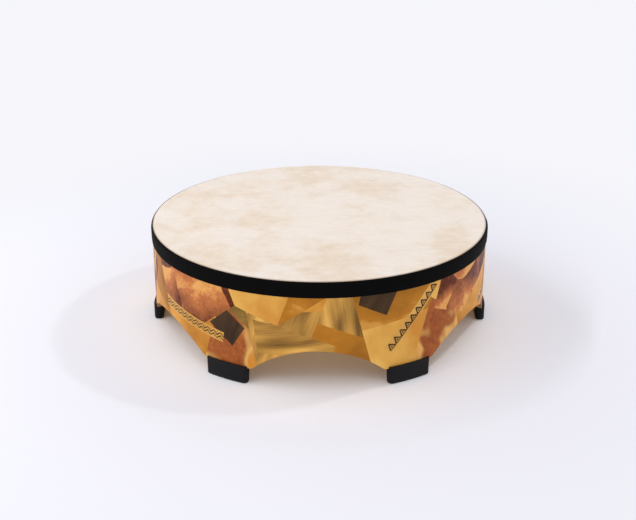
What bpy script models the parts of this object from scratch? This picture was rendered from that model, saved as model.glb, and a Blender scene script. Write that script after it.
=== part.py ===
"""Floor drum: a low round shell cut into six arched legs, with a film head, a rim band and rubber boots.

Units are metres and +Z is up. The origin is on the floor, under the middle of the head. Angles round
the drum are in degrees, from the front (-Y) towards the right (+X), and radii are from its axis.
"""

import math

import bmesh
import bpy
from mathutils import Matrix

# Whole drum
HEAD_HEIGHT = 0.1775
SHELL_RADIUS = 0.2794
RING_STEPS = 120
GAP = 0.0003

# Shell wall: a wound core with a thin printed covering glued round it
WALL_THICKNESS = 0.0090
COVERING_THICKNESS = 0.0005
COVERING_TOP = 0.1587
CREST_WIDTH = 0.0010
CREST_CHAMFER = 0.0026

# Arches and legs
LEG_COUNT = 6
FIRST_LEG_ANGLE = -30.0
ARCH_TOP = 0.0652
ARCH_SPAN = 0.2010
SHOULDER_HEIGHT = 0.0254
ARCH_STEPS = 112
CUTTER_REACH = 0.0200

# Head film: it turns down over the bearing edge and ends in a short collar
FILM_THICKNESS = COVERING_THICKNESS
FILM_EDGE_ROUND = 0.0058
COLLAR_BOTTOM = 0.1590
EDGE_ARC_STEPS = 4

# Rim band: it starts part way up the film's rounded edge, and is thin at both edges and thick on the side
BAND_LIP_ANGLE = 47.0
BAND_BOTTOM = 0.1517
BAND_SIDE_THICKNESS = 0.0008
BAND_LIP_THICKNESS = 0.0003
BAND_EDGE_THICKNESS = 0.0004
BAND_TAPER_HEIGHT = 0.0060
BAND_EDGE_ROUND = 0.0002
LAP_THICKNESS = 0.0005
LAP_SINK = 0.0003
LAP_START_ANGLE = 78.0
LAP_SWEEP = 9.0
LAP_TOP_ANGLE = 30.0

# Boots: a flared channel with closed ends, and a pocket that takes the tongue under each leg
BOOT_FOOT_SWEEP = 15.0
BOOT_LIP_SWEEP = 15.3
BOOT_STEPS = 6
BOOT_TOP = 0.0285
BOOT_FLOOR = 0.0080
BOOT_OUTER_FOOT = 0.0052
BOOT_OUTER_LIP = 0.0050
BOOT_INNER_FOOT = 0.0012
BOOT_INNER_LIP = 0.0030
BOOT_CORNER = 0.0065
BOOT_FLOOR_ROUND = 0.0022
BOOT_LIP_ROUND = 0.0008
CORNER_STEPS = 4
FLOOR_ROUND_STEPS = 3
LIP_ROUND_STEPS = 2
TONGUE_SWEEP = 12.2
SLOT_SWEEP = 20.0
SLOT_TOP = 0.0400
SLOT_FLARE = 0.0010

# Places that follow from the sizes above
CORE_INNER = SHELL_RADIUS - WALL_THICKNESS
CORE_OUTER = SHELL_RADIUS - COVERING_THICKNESS - GAP
COVERING_INNER = SHELL_RADIUS - COVERING_THICKNESS
EDGE_RADIUS = SHELL_RADIUS - FILM_EDGE_ROUND
EDGE_HEIGHT = HEAD_HEIGHT - FILM_EDGE_ROUND
BOOT_MIDDLE = (SHELL_RADIUS + BOOT_OUTER_FOOT + CORE_INNER - BOOT_INNER_FOOT) / 2.0
LEG_PITCH = 360.0 / LEG_COUNT
LEG_NAMES = ("front_left", "front_right", "right", "rear_right", "rear_left", "left")
SHARP_ANGLE = math.radians(35.0)
AXIS_MERGE = 0.0001


def clear_scene():
    """Remove every object that the file opened with."""
    for thing in list(bpy.data.objects):
        bpy.data.objects.remove(thing, do_unlink=True)


def new_collection(name):
    """Add a collection to the scene."""
    collection = bpy.data.collections.new(name)
    bpy.context.scene.collection.children.link(collection)
    return collection


def linear(channel):
    """Turn one sRGB channel, 0 to 1, into a linear one."""
    if channel <= 0.04045:
        return channel / 12.92
    return ((channel + 0.055) / 1.055) ** 2.4


def new_material(name, colour, roughness, metallic=0.0):
    """Make a Principled material from an sRGB hex colour."""
    material = bpy.data.materials.new(name)
    material.use_nodes = True
    channels = [linear(int(colour[i : i + 2], 16) / 255.0) for i in (1, 3, 5)]
    shader = material.node_tree.nodes["Principled BSDF"]
    shader.inputs["Base Color"].default_value = (*channels, 1.0)
    shader.inputs["Roughness"].default_value = roughness
    shader.inputs["Metallic"].default_value = metallic
    return material


def add_part(name, mesh, material, collection):
    """Put a mesh in the scene as a named sub-part."""
    part = bpy.data.objects.new(name, mesh)
    collection.objects.link(part)
    if material.name not in mesh.materials:
        mesh.materials.append(material)
    return part


def add_cutter(name, mesh, collection):
    """Put a mesh in the scene as a cutter, which is not part of the drum."""
    cutter = bpy.data.objects.new(name, mesh)
    cutter.hide_render = True
    cutter.display_type = "WIRE"
    collection.objects.link(cutter)
    return cutter


def boolean(part, other, operation):
    """Cut a part by another object, or join that object to it."""
    modifier = part.modifiers.new(f"{operation.title()} {other.name}", "BOOLEAN")
    modifier.operation = operation
    modifier.solver = "EXACT"
    modifier.object = other


def between(first, last, share):
    """The value at a share of the way from the first to the last."""
    return first + (last - first) * share


def rim_point(reach, angle):
    """A point at a distance and an angle from the middle of the rounded rim, as (radius, height)."""
    turned = math.radians(angle)
    return EDGE_RADIUS + reach * math.cos(turned), EDGE_HEIGHT + reach * math.sin(turned)


def arc(reach, start, end):
    """Points of an arc about the middle of the rounded rim, as (radius, height)."""
    angles = [between(start, end, step / EDGE_ARC_STEPS) for step in range(EDGE_ARC_STEPS + 1)]
    return [rim_point(reach, angle) for angle in angles]


def profile_mesh(name, points, closed):
    """A profile at +X as a wire mesh, from (radius, height) points that run down the outer side."""
    mesh = bpy.data.meshes.new(name)
    shape = bmesh.new()
    verts = [shape.verts.new((radius, 0.0, height)) for radius, height in points]
    for first, second in zip(verts, verts[1:]):
        shape.edges.new((first, second))
    if closed:
        shape.edges.new((verts[-1], verts[0]))
    shape.to_mesh(mesh)
    shape.free()
    return mesh


def turn(part):
    """Turn a part's profile once round the drum's axis."""
    screw = part.modifiers.new("Turn", "SCREW")
    screw.axis = "Z"
    screw.angle = math.radians(360.0)
    screw.steps = RING_STEPS
    screw.render_steps = RING_STEPS
    screw.use_merge_vertices = True
    screw.merge_threshold = AXIS_MERGE
    screw.use_smooth_shade = True


def sector_mesh(name, section, sweep, steps):
    """A closed piece of a ring, centred on +X: a section of (radius, height) points spun by sweep."""
    shape = bmesh.new()
    verts = [shape.verts.new((radius, 0.0, height)) for radius, height in section]
    face = shape.faces.new(verts)
    start = Matrix.Rotation(math.radians(-sweep / 2.0), 3, "Z")
    bmesh.ops.rotate(shape, verts=shape.verts, cent=(0.0, 0.0, 0.0), matrix=start)
    bmesh.ops.spin(
        shape,
        geom=[*shape.verts, *shape.edges, face],
        cent=(0.0, 0.0, 0.0),
        axis=(0.0, 0.0, 1.0),
        dvec=(0.0, 0.0, 0.0),
        angle=math.radians(sweep),
        steps=steps,
    )
    bmesh.ops.recalc_face_normals(shape, faces=shape.faces)
    mesh = bpy.data.meshes.new(name)
    shape.to_mesh(mesh)
    shape.free()
    return mesh


def place_round(thing, angle):
    """Turn an object that was made at +X to its angle round the drum."""
    thing.rotation_euler.z = math.radians(angle - 90.0)


def leg_angles():
    """The six legs' names and angles round the drum, starting at the front left."""
    return [(name, FIRST_LEG_ANGLE + LEG_PITCH * i) for i, name in enumerate(LEG_NAMES)]


def arch_cutters(collection):
    """Three level cylinders through the drum's axis, each cutting two opposite arches."""
    rise = ARCH_TOP - SHOULDER_HEIGHT
    radius = (rise**2 + (ARCH_SPAN / 2.0) ** 2) / (2.0 * rise)
    level = Matrix.Rotation(math.radians(90.0), 4, "X")
    shape = bmesh.new()
    bmesh.ops.create_cone(
        shape,
        cap_ends=True,
        segments=ARCH_STEPS,
        radius1=radius,
        radius2=radius,
        depth=2.0 * (SHELL_RADIUS + CUTTER_REACH),
        matrix=Matrix.Translation((0.0, 0.0, ARCH_TOP - radius)) @ level,
    )
    mesh = bpy.data.meshes.new("arch_cutter")
    shape.to_mesh(mesh)
    shape.free()
    cutters = []
    for i in range(LEG_COUNT // 2):
        cutter = add_cutter(f"arch_cutter_{i + 1}", mesh, collection)
        cutter.rotation_euler.z = math.radians(LEG_PITCH * i)
        cutters.append(cutter)
    return cutters


def shoulder_cutters(collection):
    """Ring pieces under the arches, which leave a tongue below each leg's shoulders."""
    low = BOOT_FLOOR - CUTTER_REACH
    inner = CORE_INNER - CUTTER_REACH
    outer = SHELL_RADIUS + CUTTER_REACH
    section = [(inner, low), (outer, low), (outer, SHOULDER_HEIGHT), (inner, SHOULDER_HEIGHT)]
    mesh = sector_mesh("shoulder_cutter", section, LEG_PITCH - TONGUE_SWEEP, BOOT_STEPS)
    cutters = []
    for name, angle in leg_angles():
        cutter = add_cutter(f"shoulder_cutter_{name}", mesh, collection)
        place_round(cutter, angle + LEG_PITCH / 2.0)
        cutters.append(cutter)
    return cutters


def build_shell_core(parts, cutters, arches):
    """The wound wall: rounded bearing edge, six arches, and tongues under the legs' shoulders."""
    round_radius = FILM_EDGE_ROUND - FILM_THICKNESS - GAP
    crest = EDGE_HEIGHT + round_radius
    crest_inner = EDGE_RADIUS - CREST_WIDTH
    bottom = BOOT_FLOOR + GAP
    points = [(CORE_INNER, crest - CREST_CHAMFER), (crest_inner, crest)]
    points += arc(round_radius, 90.0, 0.0)
    points += [(CORE_OUTER, bottom), (CORE_INNER, bottom)]
    material = new_material("wound_fibre", "#2A211B", 0.85)
    core = add_part("shell_core", profile_mesh("shell_core", points, True), material, parts)
    turn(core)
    for cutter in shoulder_cutters(cutters) + arches:
        boolean(core, cutter, "DIFFERENCE")


def build_shell_wrap(parts, arches):
    """The printed covering: a thin sleeve from the shoulders up to the head's collar."""
    points = [
        (COVERING_INNER, COVERING_TOP),
        (SHELL_RADIUS, COVERING_TOP),
        (SHELL_RADIUS, SHOULDER_HEIGHT),
        (COVERING_INNER, SHOULDER_HEIGHT),
    ]
    material = new_material("printed_covering", "#C98E3E", 0.40)
    wrap = add_part("shell_wrap", profile_mesh("shell_wrap", points, True), material, parts)
    turn(wrap)
    for cutter in arches:
        boolean(wrap, cutter, "DIFFERENCE")


def build_drum_head(parts):
    """The film: flat over the shell, rounded down over the bearing edge, with a collar on the side."""
    inner_round = FILM_EDGE_ROUND - FILM_THICKNESS
    points = [(0.0, HEAD_HEIGHT)]
    points += arc(FILM_EDGE_ROUND, 90.0, 0.0)
    points += [(SHELL_RADIUS, COLLAR_BOTTOM), (SHELL_RADIUS - FILM_THICKNESS, COLLAR_BOTTOM)]
    points += arc(inner_round, 0.0, 90.0)
    points.append((0.0, HEAD_HEIGHT - FILM_THICKNESS))
    material = new_material("head_film", "#EDE3D5", 0.55)
    head = add_part("drum_head", profile_mesh("drum_head", points, False), material, parts)
    turn(head)


def band_side_points(offset, start):
    """The band's outer line, moved outwards by offset, from an angle on the rim to its lower edge."""
    inner = FILM_EDGE_ROUND + GAP
    edge = SHELL_RADIUS + GAP + BAND_EDGE_THICKNESS
    points = []
    for step in range(EDGE_ARC_STEPS + 1):
        angle = between(start, 0.0, step / EDGE_ARC_STEPS)
        thickness = between(BAND_SIDE_THICKNESS, BAND_LIP_THICKNESS, angle / BAND_LIP_ANGLE)
        points.append(rim_point(inner + thickness + offset, angle))
    points.append((points[-1][0], BAND_BOTTOM + BAND_TAPER_HEIGHT))
    points.append((edge + offset, BAND_BOTTOM + BAND_EDGE_ROUND))
    points.append((edge + offset - BAND_EDGE_ROUND, BAND_BOTTOM))
    return points


def build_rim_band(parts, cutters):
    """The black strip over the film's edge, with its end lapped over its start at the right."""
    points = band_side_points(0.0, BAND_LIP_ANGLE)
    points.append((SHELL_RADIUS + GAP, BAND_BOTTOM))
    points += arc(FILM_EDGE_ROUND + GAP, 0.0, BAND_LIP_ANGLE)
    material = new_material("rim_band", "#0C0C0D", 0.75)
    band = add_part("rim_band", profile_mesh("rim_band", points, True), material, parts)
    turn(band)

    outer_line = band_side_points(LAP_THICKNESS, LAP_TOP_ANGLE)
    inner_line = band_side_points(-LAP_SINK, LAP_TOP_ANGLE)
    section = outer_line + inner_line[::-1]
    steps = round(LAP_SWEEP * RING_STEPS / 360.0)
    lap = add_cutter("band_lap", sector_mesh("band_lap", section, LAP_SWEEP, steps), cutters)
    place_round(lap, LAP_START_ANGLE + LAP_SWEEP / 2.0)
    boolean(band, lap, "UNION")


def boot_outline(height, inset):
    """A boot's outline at a height, as (angle, radius) points: a curved strip with rounded corners."""
    share = height / BOOT_TOP
    outer = SHELL_RADIUS + between(BOOT_OUTER_FOOT, BOOT_OUTER_LIP, share) - inset
    inner = CORE_INNER - between(BOOT_INNER_FOOT, BOOT_INNER_LIP, share) + inset
    half = math.radians(between(BOOT_FOOT_SWEEP, BOOT_LIP_SWEEP, share) / 2.0) * BOOT_MIDDLE - inset
    corner = BOOT_CORNER - inset
    ahead = half - corner
    corners = [
        (ahead, outer - corner, 0.0),
        (ahead, inner + corner, 90.0),
        (-ahead, inner + corner, 180.0),
        (-ahead, outer - corner, 270.0),
    ]
    points = []
    for number, (along, radius, start) in enumerate(corners):
        for step in range(CORNER_STEPS + 1):
            angle = math.radians(start + 90.0 * step / CORNER_STEPS)
            points.append((along + corner * math.sin(angle), radius + corner * math.cos(angle)))
        if number % 2:
            side = points[-1][1]
            end = -along
            points += [(between(along, end, step / BOOT_STEPS), side) for step in range(1, BOOT_STEPS)]
    return [(along / BOOT_MIDDLE, radius) for along, radius in points]


def boot_levels():
    """Heights of a boot's outlines and how far each is set in, from the floor to the lips."""
    levels = []
    for step in range(FLOOR_ROUND_STEPS + 1):
        angle = math.radians(90.0 * step / FLOOR_ROUND_STEPS)
        height = BOOT_FLOOR_ROUND * (1.0 - math.cos(angle))
        levels.append((height, BOOT_FLOOR_ROUND * (1.0 - math.sin(angle))))
    for step in range(LIP_ROUND_STEPS + 1):
        angle = math.radians(90.0 * step / LIP_ROUND_STEPS)
        height = BOOT_TOP - BOOT_LIP_ROUND * (1.0 - math.sin(angle))
        levels.append((height, BOOT_LIP_ROUND * (1.0 - math.cos(angle))))
    return levels


def boot_mesh():
    """One solid boot before its slot and pocket are cut: it widens from the floor to its lips."""
    shape = bmesh.new()
    rings = []
    for height, inset in boot_levels():
        ring = []
        for angle, radius in boot_outline(height, inset):
            ring.append(shape.verts.new((radius * math.cos(angle), radius * math.sin(angle), height)))
        rings.append(ring)
    for low, high in zip(rings, rings[1:]):
        for i in range(len(low)):
            shape.faces.new((low[i - 1], low[i], high[i], high[i - 1]))
    shape.faces.new(rings[0][::-1])
    shape.faces.new(rings[-1])
    bmesh.ops.recalc_face_normals(shape, faces=shape.faces)
    mesh = bpy.data.meshes.new("boot")
    shape.to_mesh(mesh)
    shape.free()
    return mesh


def build_boots(parts, cutters):
    """Six rubber boots, each a channel over the wall with a pocket for the leg's tongue."""
    inner = CORE_INNER - GAP
    slot_low = SHOULDER_HEIGHT - GAP
    slot_outer = SHELL_RADIUS + GAP
    spread = SLOT_FLARE * (SLOT_TOP - slot_low) / (BOOT_TOP - slot_low)
    slot_section = [
        (inner, slot_low),
        (slot_outer, slot_low),
        (slot_outer + spread, SLOT_TOP),
        (inner - spread, SLOT_TOP),
    ]
    slot_mesh = sector_mesh("boot_slot", slot_section, SLOT_SWEEP, 2 * BOOT_STEPS)

    pocket_outer = CORE_OUTER + GAP
    pocket_top = SHOULDER_HEIGHT + GAP
    pocket_section = [
        (inner, BOOT_FLOOR),
        (pocket_outer, BOOT_FLOOR),
        (pocket_outer, pocket_top),
        (inner, pocket_top),
    ]
    pocket_sweep = TONGUE_SWEEP + 2.0 * math.degrees(GAP / CORE_INNER)
    pocket_mesh = sector_mesh("boot_pocket", pocket_section, pocket_sweep, BOOT_STEPS)

    boot_data = boot_mesh()
    boot_data.shade_smooth()
    boot_data.set_sharp_from_angle(angle=SHARP_ANGLE)
    rubber = new_material("boot_rubber", "#1C1C1E", 0.60)
    for name, angle in leg_angles():
        boot = add_part(f"boot_{name}", boot_data, rubber, parts)
        slot = add_cutter(f"slot_{name}", slot_mesh, cutters)
        pocket = add_cutter(f"pocket_{name}", pocket_mesh, cutters)
        for thing in (boot, slot, pocket):
            place_round(thing, angle)
        boolean(boot, slot, "DIFFERENCE")
        boolean(boot, pocket, "DIFFERENCE")


def build_drum():
    """Build the whole drum."""
    clear_scene()
    parts = new_collection("floor_drum")
    cutters = new_collection("cutters")
    arches = arch_cutters(cutters)
    build_shell_core(parts, cutters, arches)
    build_shell_wrap(parts, arches)
    build_drum_head(parts)
    build_rim_band(parts, cutters)
    build_boots(parts, cutters)


build_drum()
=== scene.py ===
import math

import bmesh
import bpy
from mathutils import Matrix, Quaternion, Vector


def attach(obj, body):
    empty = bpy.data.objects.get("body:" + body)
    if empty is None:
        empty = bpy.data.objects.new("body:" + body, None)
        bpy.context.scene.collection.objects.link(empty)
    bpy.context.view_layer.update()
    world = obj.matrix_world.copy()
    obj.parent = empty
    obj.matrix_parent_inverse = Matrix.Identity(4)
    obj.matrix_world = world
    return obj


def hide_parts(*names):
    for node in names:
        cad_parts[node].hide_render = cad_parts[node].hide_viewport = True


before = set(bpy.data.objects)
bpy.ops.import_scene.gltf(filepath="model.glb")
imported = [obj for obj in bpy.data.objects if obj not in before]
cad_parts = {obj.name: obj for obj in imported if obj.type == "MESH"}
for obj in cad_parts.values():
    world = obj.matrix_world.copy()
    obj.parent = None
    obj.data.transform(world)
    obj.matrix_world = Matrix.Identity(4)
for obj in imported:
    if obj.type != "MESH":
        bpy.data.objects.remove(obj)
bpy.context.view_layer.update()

# A low floor drum on six booted legs, dressed for the photograph. Lengths are in metres. Angles round
# the drum are in degrees, from the front (-Y) towards the right (+X), and radii are from its axis.

FULL_TURN = 360.0
MM_PER_METRE = 1000.0

# Shell sizes, as in the part
HEAD_HEIGHT = 0.1775
SHELL_RADIUS = 0.2794
COVERING_THICKNESS = 0.0005
COVERING_TOP = 0.1587
GAP = 0.0003
CORE_OUTER = SHELL_RADIUS - COVERING_THICKNESS - GAP
CORE_INNER = 0.2704
CREST_WIDTH = 0.0010
CREST_CHAMFER = 0.0026

# Arches and legs
LEG_COUNT = 6
LEG_PITCH = FULL_TURN / LEG_COUNT
HALF_PITCH = LEG_PITCH / 2.0
ARCH_TOP = 0.0652
HALF_SPAN = 0.1005
SHOULDER_HEIGHT = 0.0254
TONGUE_BOTTOM = 0.0083
ARCH_RISE = ARCH_TOP - SHOULDER_HEIGHT
ARCH_RADIUS = (ARCH_RISE**2 + HALF_SPAN**2) / (2.0 * ARCH_RISE)
BOOT_PLACES = ("front_left", "front_right", "right", "rear_right", "rear_left", "left")

# Columns of faces in half an arch, in half a leg and in half a tongue, then all round the shell and all
# round its rim, and rows in the covering
ARCH_COLUMNS = 20
LEG_COLUMNS = 8
TONGUE_COLUMNS = 6
SHELL_COLUMNS = 2 * LEG_COUNT * (ARCH_COLUMNS + LEG_COLUMNS)
COLUMN_SWEEP = FULL_TURN / SHELL_COLUMNS
RIM_COLUMNS = 360
COVERING_ROWS = 6

# Head film
FILM_THICKNESS = 0.0005
FILM_EDGE_ROUND = 0.0058
COLLAR_BOTTOM = 0.1590
EDGE_RADIUS = SHELL_RADIUS - FILM_EDGE_ROUND
EDGE_HEIGHT = HEAD_HEIGHT - FILM_EDGE_ROUND
EDGE_STEPS = 10
FLAT_RINGS = (0.0, 0.068, 0.136, 0.204, 0.262)

# Radii between which painted shade turns the film brown, where it starts to bend over the rim
EDGE_SHADE_START = 0.2745
EDGE_SHADE_END = 0.2780

# Rim band and its lap
BAND_LIP_ANGLE = 47.0
BAND_BOTTOM = 0.1517
BAND_SIDE_THICKNESS = 0.0008
BAND_LIP_THICKNESS = 0.0003
BAND_EDGE_THICKNESS = 0.0004
BAND_TAPER_HEIGHT = 0.0060
BAND_EDGE_ROUND = 0.0002
LAP_THICKNESS = 0.0005
LAP_START = 78.0
LAP_END = 87.0
LAP_FADE = 3.0

# The points up to the reach past the lap's start are drawn in to the sweep past it, for a steep step
LAP_STEP_REACH = 1.5 * FULL_TURN / RIM_COLUMNS
LAP_STEP_SWEEP = 0.12

MERGE_DISTANCE = 0.000001
SHARP_ANGLE = 35.0

# The wave texture repeats every tenth of pi at scale 1
WAVE_REPEAT = math.pi / 10.0

# How far apart the patches lie in the paper textures
PATCH_SHIFT = 0.37

# Folded foil: how wide its facets are, how far their edges bend, and how steep the shade across each is
FOIL_FACET = 0.075
FOIL_BEND = 0.04
FOIL_SHADE = 55.0

# Camera, from a fit to the photograph, with the lens shifted by half a pixel
CAMERA_PLACE = (0.01386, -1.65205, 0.78375)
CAMERA_AIM = (-0.00225, -0.00002, 0.09437)
CAMERA_ROLL = -0.00061
LENS_MM = 59.13
SENSOR_MM = 36.0
PHOTO_WIDTH = 636.0
LENS_SHIFT = 0.5 / PHOTO_WIDTH

# Studio lamps, all facing straight down, from a fit to the shadows on the photograph's floor: name, place,
# size, turn in radians, and power in watts
LAMP_HEIGHT = 1.9
LAMP_COLOUR = "#FFFFFF"
LAMPS = (
    ("left_softbox", (-1.80, -0.61), (0.21, 3.20), 2.89, 30.0),
    ("right_softbox", (1.40, 0.45), (0.16, 0.16), 0.0, 9.3),
    ("front_fill", (0.09, -1.50), (0.60, 0.64), 0.0, 3.4),
)

# The warm light that comes down through the film, from a round lamp just under it
GLOW_HEIGHT = 0.168
GLOW_WIDTH = 0.46
GLOW_POWER = 0.115
GLOW_COLOUR = "#F0BC40"

# Studio floor: its size, its paper's tone near the drum and away from it, and the radii between which
# that changes and then gives way to the backdrop's tone
FLOOR_RADIUS = 9.0
FLOOR_SIDES = 96
# Painted light: the paler tone near the drum lifts the shade that the drum casts round itself
NEAR_PAINTED_LIGHT_TONE = "#FDFCFE"
AWAY_TONE = "#EFEFF4"
FAR_TONE = "#F6F6FB"
NEAR_START = 0.28
NEAR_END = 0.42
FAR_START = 0.50
FAR_END = 1.10

# World: the light that comes from all round, and the backdrop where it is seen
AMBIENT_TONE = "#F8F8FE"
AMBIENT_STRENGTH = 0.75
BACKDROP_TONE = "#F7F6FB"
BACKDROP_STRENGTH = 1.0

# Papers of the printed patchwork: light tone, deep tone, and shares of foil folds, of brushing and of stain
PAPERS = {
    "bright_gold": ("#FFCA64", "#E09438", 0.0, 0.2, 0.0),
    "gold": ("#FFB64A", "#BA721E", 0.0, 0.2, 0.0),
    "stained_gold": ("#FFBA54", "#DA8A30", 0.0, 0.2, 1.0),
    "ochre": ("#DC9028", "#8A5412", 0.0, 0.3, 0.0),
    "bronze": ("#F8BA58", "#7C5826", 0.0, 1.0, 0.0),
    "olive": ("#A27C38", "#5E461A", 0.0, 0.4, 0.0),
    "copper": ("#F09250", "#5E200A", 1.0, 0.1, 0.0),
    "mauve": ("#D6845C", "#62281A", 1.0, 0.1, 0.0),
    "umber": ("#5A4228", "#2C1E12", 0.0, 0.9, 0.0),
}

# Folds between the patchwork's columns: place round the shell, in millimetres, at the sheet's foot and top
FOLD_FOOT = 20.0
FOLD_TOP = 170.0
FOLDS = (
    (-877, -877),
    (-800, -842),
    (-716, -664),
    (-616, -650),
    (-536, -500),
    (-452, -478),
    (-380, -330),
    (-268, -306),
    (-190, -140),
    (-92, -118),
    (-34, 20),
    (86, 46),
    (150, 196),
    (262, 222),
    (340, 388),
    (450, 414),
    (530, 580),
    (640, 604),
    (700, 750),
    (806, 770),
    (877, 877),
)

# Columns: upper paper, lower paper, height of the cut between them at the left and right fold, grain angle
COLUMNS = (
    ("gold", "bronze", 84, 112, 80),
    ("mauve", "gold", 118, 90, 20),
    ("bright_gold", "ochre", 92, 70, 95),
    ("copper", "gold", 84, 122, -15),
    ("olive", "bright_gold", 112, 72, 65),
    ("bright_gold", "mauve", 84, 112, 10),
    ("ochre", "gold", 96, 66, 30),
    ("bright_gold", "gold", 124, 96, 80),
    ("olive", "stained_gold", 128, 92, 100),
    ("gold", "bronze", 118, 132, 70),
    ("bronze", "ochre", 112, 84, 8),
    ("ochre", "bright_gold", 96, 112, 92),
    ("bright_gold", "stained_gold", 128, 86, 60),
    ("copper", "gold", 92, 110, -30),
    ("gold", "copper", 116, 86, 12),
    ("bright_gold", "ochre", 80, 104, 88),
    ("ochre", "copper", 108, 80, 15),
    ("olive", "bright_gold", 84, 118, 70),
    ("copper", "gold", 112, 78, -25),
    ("gold", "ochre", 76, 98, 85),
)

# Patches laid over the columns: paper, grain angle, corners as place and height in millimetres
PATCHES = (
    ("mauve", 40, ((-424, 170), (-410, 88), (-362, 60), (-330, 128), (-346, 170))),
    ("copper", 20, ((-318, 170), (-290, 100), (-196, 76), (-128, 126), (-146, 170))),
    ("umber", 70, ((-176, 88), (-142, 116), (-112, 92), (-134, 58))),
    ("bright_gold", 84, ((-146, 170), (-128, 126), (-60, 104), (-36, 170))),
    ("ochre", 150, ((-36, 170), (-60, 104), (38, 170))),
    ("bronze", 10, ((-100, 118), (-92, 56), (20, 56), (32, 92), (-60, 104))),
    ("umber", 60, ((66, 170), (60, 138), (104, 116), (128, 170))),
    ("copper", 35, ((208, 170), (190, 108), (262, 78), (318, 118), (306, 170))),
    ("mauve", 15, ((352, 20), (344, 84), (410, 126), (436, 20))),
    ("umber", 75, ((338, 170), (352, 122), (386, 170))),
    ("umber", 30, ((596, 170), (606, 104), (640, 170))),
    ("mauve", 30, ((-604, 20), (-590, 84), (-528, 66), (-520, 20))),
    ("umber", 85, ((-700, 170), (-676, 116), (-654, 170))),
    ("copper", 20, ((-536, 170), (-520, 112), (-452, 98), (-436, 170))),
    ("bright_gold", 5, ((742, 170), (760, 112), (800, 120), (812, 170))),
    ("olive", 60, ((482, 20), (504, 78), (566, 60), (560, 20))),
)

# Printed borders, each on its own strip: motif, and the middle line's start and end as place and height
# in millimetres. A strip's width and the length of one motif are in millimetres too.
BORDER_WIDTH = 17.0
BORDER_CELL = 13.0
BORDER_TONES = ("#F1BC66", "#DC9F47")
BORDER_BRUSHING = 0.3
BORDERS = (
    ("chevrons", (-286, 88), (-150, 68)),
    ("triangles", (108, 58), (190, 150)),
    ("diamonds", (-412, 80), (-350, 150)),
    ("triangles", (330, 70), (420, 96)),
    ("chevrons", (-596, 96), (-506, 130)),
    ("diamonds", (462, 44), (430, 150)),
    ("triangles", (560, 104), (650, 76)),
    ("diamonds", (-800, 112), (-700, 84)),
    ("chevrons", (708, 108), (806, 84)),
)
MOTIF_CHANNELS = {"triangles": (1.0, 0.0, 0.0), "chevrons": (0.0, 1.0, 0.0), "diamonds": (0.0, 0.0, 1.0)}

# Sizes in the motifs: the margin as a share of the strip's width, and the rest of a motif's height
MOTIF_MARGIN = 0.16
TRIANGLE_DROP = 0.06
TRIANGLE_LINE = 0.23
TRIANGLE_BASE = 0.16
TRIANGLE_DOT_PLACE = 0.36
TRIANGLE_DOT = 0.12
CHEVRON_SPACING = 0.25
CHEVRON_LINE = 0.115
DIAMOND_REACH = 0.38
DIAMOND_LINE = 0.12
DIAMOND_DOT = 0.13


def linear(colour):
    """Linear red, green, blue and alpha from an sRGB hex value."""
    channels = []
    for start in (1, 3, 5):
        channel = int(colour[start : start + 2], 16) / 255.0
        channels.append(channel / 12.92 if channel <= 0.04045 else ((channel + 0.055) / 1.055) ** 2.4)
    return (*channels, 1.0)


def socket(sockets, key):
    """A socket by its number, or the shown one by its name."""
    if isinstance(key, int):
        return sockets[key]
    return next(each for each in sockets if each.name == key and each.enabled)


def add(tree, kind, inputs, output=None, **settings):
    """Add a node with its properties and inputs, and return a named output or else its first, if any."""
    node = tree.nodes.new("ShaderNode" + kind)
    for name, value in settings.items():
        setattr(node, name, value)
    for key, value in inputs.items():
        if isinstance(value, bpy.types.NodeSocket):
            tree.links.new(value, socket(node.inputs, key))
        else:
            socket(node.inputs, key).default_value = value
    if output:
        return node.outputs[output]
    return next((each for each in node.outputs if each.enabled), None)


def new_material(name, constants):
    """A Principled material, with the values that are the same all over set on the shader's own sockets."""
    material = bpy.data.materials.new(name)
    material.use_nodes = True
    shader = material.node_tree.nodes["Principled BSDF"]
    for key, value in constants.items():
        shader.inputs[key].default_value = value
    return material, material.node_tree, shader


def finish_material(tree, shader, colour, roughness, height, distance, strength):
    """Link a colour, a roughness and a height to the shader."""
    tree.links.new(colour, shader.inputs["Base Color"])
    tree.links.new(roughness, shader.inputs["Roughness"])
    normal = add(tree, "Bump", {"Height": height, "Distance": distance, "Strength": strength})
    tree.links.new(normal, shader.inputs["Normal"])


def axis_distance(tree, place):
    """How far a place is from the drum's axis."""
    level = add(tree, "VectorMath", {0: place, 1: (1.0, 1.0, 0.0)}, operation="MULTIPLY")
    return add(tree, "VectorMath", {0: level}, operation="LENGTH")


def plain_weave(tree, place, spacing, distortion):
    """Height of a plain weave whose threads are a spacing apart."""
    threads = {"Vector": place, "Scale": WAVE_REPEAT / spacing, "Distortion": distortion, "Detail": 1.0}
    warp = add(tree, "TexWave", threads, "Fac")
    weft = add(tree, "TexWave", threads, "Fac", bands_direction="Y")
    return add(tree, "Math", {0: warp, 1: weft}, operation="MULTIPLY")


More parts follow.
